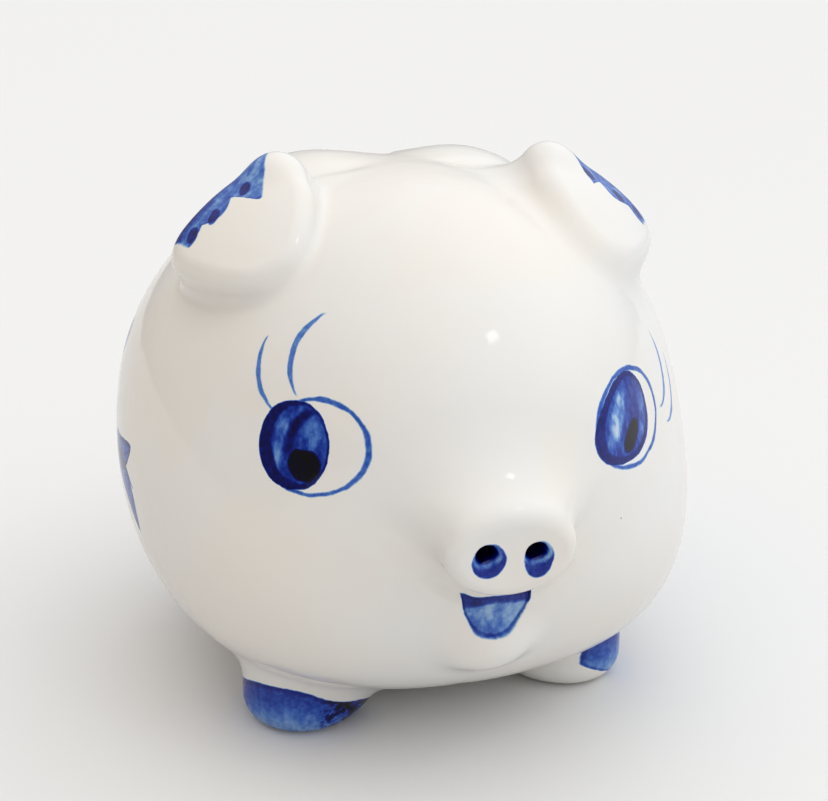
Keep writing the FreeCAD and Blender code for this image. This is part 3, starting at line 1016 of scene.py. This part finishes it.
def paint_foot(place, name, streaks):
    """A brushed patch over the outer and front part of the foot."""
    across, back = FEET[name]
    height, reach, drop, slant = PATCHES[name]
    outward = math.copysign(1.0, across)
    front = -1.0 if name.startswith("front") else 1.0
    u, w, z = local(place, (across, back, 0), ((outward, 0, 0), (0, front, 0), UP))
    turn = calc("ARCTAN2", w, u)
    top = ramp(turn, 1.1, 2.3, 0.0, -drop) + ramp(turn, 0.8, -0.4, 0.0, -2.8) + height
    side = turn - ramp(z, 0.5, 6.5, reach - slant, reach)
    d = most(z - top, side * 9.0, (turn + 1.15) * -7.0)
    wash = 0.95 + streaks * 0.35
    # the wash grows darker from the sole up towards the top of the patch
    darker_up_the_patch = ramp(z - top, -height * 0.75, -0.5, -0.4, 0.75)
    speck = ramp(noise(place, 0.55, 3.0), 0.42, 0.6) * ramp(turn, 1.6, 1.95)
    return cover(d, 0.45) * (wash + darker_up_the_patch + ramp(d, -1.3, -0.1, 0.0, 0.8) + speck * 3.6)


def start_material(name):
    """A new material, which is now the one being drawn, and its surface shader."""
    material = bpy.data.materials.new(name)
    material.use_nodes = True
    Num.tree = material.node_tree
    return material, material.node_tree.nodes["Principled BSDF"]


def place_in_mm():
    """The surface's own place, in millimetres."""
    where = Num.tree.nodes.new("ShaderNodeTexCoord").outputs["Object"]
    return scaled(Num(where), 1 / MM)


def bumps(height, strength):
    """The normal of a surface raised by height, in millimetres."""
    node = Num.tree.nodes.new("ShaderNodeBump")
    node.inputs["Distance"].default_value = MM
    node.inputs["Strength"].default_value = strength
    put(node.inputs["Height"], height)
    return Num(node.outputs["Normal"])


# the glaze is cooler and warmer white in patches, and the feet's soles are bare clay
COOL_WHITE, WARM_WHITE = (0.745, 0.733, 0.712), (0.75, 0.716, 0.668)
CLAY = (0.62, 0.55, 0.47)


def glaze(name, paint):
    """White tin glaze over the painting that paint(place, streaks) gives the density of."""
    material, surface = start_material(name)
    place = place_in_mm()
    # the hand that paints wavers, widely and finely
    wobble = vector("SUBTRACT", noise(place, 0.3, 2.0, colour=True), (0.5, 0.5, 0.5))
    shiver = vector("SUBTRACT", noise(place, 1.6, 2.0, colour=True), (0.5, 0.5, 0.5))
    hand = vector("ADD", place, vector("MULTIPLY", wobble, (0.7, 0.7, 0.7)))
    hand = vector("ADD", hand, vector("MULTIPLY", shiver, (0.16, 0.16, 0.16)))
    streaks = ramp(noise(place, 0.55, 4.0, stretch=(1.0, 1.0, 0.45)), 0.3, 0.7)
    density = paint(hand, streaks) * ramp(noise(place, 1.1, 3.0), 0.2, 0.8, 0.78, 1.2)
    warm = ramp(noise(place, 0.035, 2.0), 0.35, 0.65)
    colour = blend(warm, COOL_WHITE, WARM_WHITE)
    # pinholes: a few dark specks where the glaze crawled
    cells = Num.tree.nodes.new("ShaderNodeTexVoronoi")
    put(cells.inputs["Vector"], place)
    cells.inputs["Scale"].default_value = 0.12
    pick = Num(cells.outputs["Color"])
    pick = ramp(dot(pick, ACROSS), 0.78, 0.8)
    pin = ramp(Num(cells.outputs["Distance"]), 0.03, 0.016) * pick
    colour = scaled(colour, 1.0 - pin * 0.55)
    sole = ramp(dot(place, UP), 0.55, 0.1)
    clear = Num.tree.nodes.new("ShaderNodeCombineXYZ")
    for socket, (strength, power) in zip(clear.inputs, PIGMENT):
        put(socket, calc("EXPONENT", calc("POWER", density, power) * -strength))
    colour = vector("MULTIPLY", colour, Num(clear.outputs["Vector"]))
    bare = scaled(CLAY, 0.8 + noise(place, 1.5, 4.0) * 0.4)
    colour = vector("ADD", scaled(colour, 1.0 - sole), scaled(bare, sole))
    put(surface.inputs["Base Color"], colour)
    smooth = ramp(noise(place, 0.2, 3.0), 0.2, 0.8, 0.2, 0.32)
    put(surface.inputs["Roughness"], smooth + sole * 0.5)
    surface.inputs["Coat Weight"].default_value = 0.85
    surface.inputs["Coat Roughness"].default_value = 0.07
    surface.inputs["Coat IOR"].default_value = 1.4
    surface.inputs["Specular IOR Level"].default_value = 0.0
    waves = noise(place, 0.09, 2.0) * 0.35 + noise(place, 0.5, 2.0) * 0.008
    normal = bumps(waves, 0.6)
    for target in ("Normal", "Coat Normal"):
        put(surface.inputs[target], normal)
    return material


def paint_face(place, streaks):
    total = paint_mouth(place, streaks)
    for number in (0, 1):
        total = total + paint_eye(place, number, streaks)
    return total


def paint_tail(place, streaks):
    z = dot(place, UP)
    bands = calc("SINE", z * 1.5)
    return ramp(bands, -0.1, 0.5) * (0.6 + streaks * 0.8)


PAINTS = {
    "snout": paint_nostrils,
    "ear_left": lambda place, streaks: paint_ear(place, 1, 4.6, 1.0, streaks),
    "ear_right": lambda place, streaks: paint_ear(place, -1, 0.5, 0.0, streaks),
    "tail": paint_tail,
}
for foot in FEET:
    PAINTS[foot] = lambda place, streaks, name=foot: paint_foot(place, name, streaks)
# the body's painting is one material for each part of it; where parts meet the glaze is bare
BODY_PAINTS = {
    "face": paint_face,
    "rump": paint_rump,
    "left_flank": lambda place, streaks: paint_flank(place, 1, streaks),
    "right_flank": lambda place, streaks: paint_flank(place, -1, streaks),
}


def body_part(middles):
    """Which of BODY_PAINTS each face of the body belongs to, by the face's middle."""
    x, y = middles[:, 0], middles[:, 1]
    return np.select([y < -15, (y > 30) & (np.abs(x) < 27), x > 0], [0, 1, 2], 3)


# ---- the pieces


def add_object(name, data):
    thing = bpy.data.objects.new(name, data)
    bpy.context.scene.collection.objects.link(thing)
    return thing


def add_mesh(name, points, faces, materials):
    mesh = bpy.data.meshes.new(name)
    mesh.from_pydata(points, [], faces)
    for material in materials:
        mesh.materials.append(material)
    mesh.update()
    return add_object(name, mesh)


def make_piece(name, node, body_name, points, faces, materials):
    """A piece that stands for a node of the CAD and rides on one of its bodies."""
    piece = add_mesh(name, (np.asarray(points) * MM).tolist(), faces, materials)
    piece.data.shade_smooth()
    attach(piece, body_name)
    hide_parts(node)
    return piece


for node, part in pieces.items():
    used, packed = np.unique(part, return_inverse=True)
    name = "glazed_body" if node == BODY else f"glazed_{node}"
    paints = BODY_PAINTS if node == BODY else {"": PAINTS[node]}
    materials = [glaze(f"{name}_{part_name}".rstrip("_"), paint)
                 for part_name, paint in paints.items()]
    piece = make_piece(name, node, "bank", points[used], packed.reshape(-1, 3).tolist(), materials)
    if node == BODY:
        piece.data.polygons.foreach_set("material_index", body_part(points[part].mean(1)))
    piece.data.normals_split_custom_set_from_vertices(normals[used].tolist())


def turned(profile, centre, count=96):
    """A closed solid turned from a profile of (radius, height) that starts and ends on the axis."""
    turn = np.linspace(0, 2 * math.pi, count, endpoint=False)
    points = [(centre[0], centre[1], profile[0][1])]
    for radius, height in profile[1:-1]:
        points += [(centre[0] + radius * math.cos(t), centre[1] + radius * math.sin(t), height)
                   for t in turn]
    points.append((centre[0], centre[1], profile[-1][1]))
    faces = [(0, 1 + (i + 1) % count, 1 + i) for i in range(count)]
    rows = len(profile) - 2
    for row in range(rows - 1):
        a, b = 1 + row * count, 1 + (row + 1) * count
        faces += [(a + i, a + (i + 1) % count, b + (i + 1) % count, b + i) for i in range(count)]
    last = 1 + (rows - 1) * count
    faces += [(last + i, last + (i + 1) % count, len(points) - 1) for i in range(count)]
    return points, faces


def soft_corners(corners, radii, steps=5):
    """A profile whose corners are rounded by the given radii."""
    out = [corners[0]]
    for number in range(1, len(corners) - 1):
        here = np.array(corners[number], float)
        before, after = np.array(corners[number - 1], float), np.array(corners[number + 1], float)
        r = radii[number]
        start, end = here + unit(before - here) * r, here + unit(after - here) * r
        for t in np.linspace(0, 1, steps):
            out.append(tuple((1 - t) ** 2 * start + 2 * t * (1 - t) * here + t**2 * end))
    out.append(corners[-1])
    return out


def stopper_material():
    """Soft milky plastic with a moulded grain and dust in patches."""
    material, surface = start_material("soft_stopper")
    place = place_in_mm()
    tone = ramp(noise(place, 0.25, 4.0), 0.3, 0.7, 0.9, 1.05)
    dust = ramp(noise(place, 1.8, 5.0), 0.55, 0.75, 0.0, 0.14)
    put(surface.inputs["Base Color"], scaled((0.79, 0.78, 0.74), tone - dust))
    put(surface.inputs["Roughness"], ramp(noise(place, 0.6, 3.0), 0.3, 0.7, 0.42, 0.6))
    surface.inputs["Subsurface Weight"].default_value = 0.15
    surface.inputs["Subsurface Scale"].default_value = 0.002
    put(surface.inputs["Normal"], bumps(noise(place, 4.0, 3.0) * 0.05, 0.4))
    return material


low_corner, high_corner = (np.array(corner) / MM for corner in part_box("stopper"))
# the stopper's outline from the middle of its underside, over the finger boss, the flange and the
# two ribs of its wall, to the middle of its well: radius and height, and how round each corner is
PLUG = (
    ((0.0, 0.5), 0.0), ((3.2, 0.5), 0.5), ((4.0, 1.1), 0.5), ((9.5, 1.1), 0.4), ((10.2, 0.3), 0.4),
    ((12.0, 0.3), 0.4), ((12.6, 0.8), 0.4), ((16.0, 0.6), 0.6), ((17.8, 0.0), 0.6),
    ((19.0, 0.35), 0.35), ((18.9, 1.65), 0.3), ((15.9, 1.7), 0.25), ((15.6, 2.6), 0.3),
    ((15.9, 4.4), 0.6), ((15.7, 5.6), 0.5), ((15.9, 7.0), 0.6), ((15.7, 8.4), 0.5),
    ((15.2, 10.7), 0.5), ((14.35, 10.7), 0.3), ((14.35, 2.9), 0.5), ((0.0, 2.9), 0.0),
)
profile = soft_corners([corner for corner, _ in PLUG], [radius for _, radius in PLUG])
centre = (low_corner[:2] + high_corner[:2]) / 2
plug_points, plug_faces = turned([(r, z + low_corner[2]) for r, z in profile], centre)
make_piece("soft_stopper", "stopper", "stopper", plug_points, plug_faces, [stopper_material()])

# ---- stage, lights and camera
TARGET = Vector((0, 5.1, 60)) * MM
FLOOR_SIDES = 64
FLOOR_RADIUS = 4.0
FLOOR_COLOUR = (0.72, 0.72, 0.72, 1)
WARM_LIGHT, COOL_LIGHT = (1.0, 0.93, 0.85), (0.93, 0.965, 1.0)


def on_sphere(azimuth, elevation, distance):
    """A place seen from the target: azimuth 0 is in front of the pig, positive to its left."""
    a, e = math.radians(azimuth), math.radians(elevation)
    return TARGET + distance * Vector((math.sin(a) * math.cos(e), -math.cos(a) * math.cos(e),
                                       math.sin(e)))


def aim(obj):
    obj.rotation_euler = (TARGET - obj.location).to_track_quat("-Z", "Y").to_euler()


def stage():
    """A round floor."""
    turns = np.linspace(0, 2 * math.pi, FLOOR_SIDES, endpoint=False)
    rim = [(FLOOR_RADIUS * math.cos(turn), FLOOR_RADIUS * math.sin(turn), 0) for turn in turns]
    faces = [(0, 1 + i, 1 + (i + 1) % FLOOR_SIDES) for i in range(FLOOR_SIDES)]
    material, surface = start_material("floor")
    surface.inputs["Base Color"].default_value = FLOOR_COLOUR
    surface.inputs["Roughness"].default_value = 0.9
    add_mesh("floor", [(0, 0, 0)] + rim, faces, [material])


def small_window():
    """A small bright source, for glints on the glaze."""
    data = bpy.data.lights.new("window", "AREA")
    data.shape = "RECTANGLE"
    data.size, data.size_y = 0.10, 0.08
    data.energy = 0.16
    light = add_object("window", data)
    light.location = on_sphere(azimuth=34, elevation=54, distance=0.9)
    aim(light)


def studio_world(towards, faint, bright):
    """Light from all round that grows smoothly towards one side of the sky."""
    world = bpy.data.worlds.new("studio")
    world.use_nodes = True
    Num.tree = world.node_tree
    background = world.node_tree.nodes["Background"]
    direction = Num(world.node_tree.nodes.new("ShaderNodeTexCoord").outputs["Generated"])
    height = dot(direction, unit(towards))
    put(background.inputs["Strength"], ramp(height, -0.15, 1.0, faint, bright))
    across = dot(direction, ACROSS)
    put(background.inputs["Color"], blend(ramp(across, -0.9, 0.7), WARM_LIGHT, COOL_LIGHT))
    bpy.context.scene.world = world


stage()
studio_world(towards=(0.3, -0.08, 0.94), faint=0.3, bright=1.67)
small_window()

bpy.context.scene.view_settings.view_transform = "Standard"
camera_data = bpy.data.cameras.new("camera")
camera_data.sensor_width = 36
camera_data.lens = 64.35
camera_data.shift_x = 0.0185
camera_data.shift_y = -0.0435
camera_data.clip_start = 0.01
camera = add_object("camera", camera_data)
camera.location = on_sphere(azimuth=-14.6, elevation=16.9, distance=0.300)
aim(camera)
bpy.context.scene.camera = camera
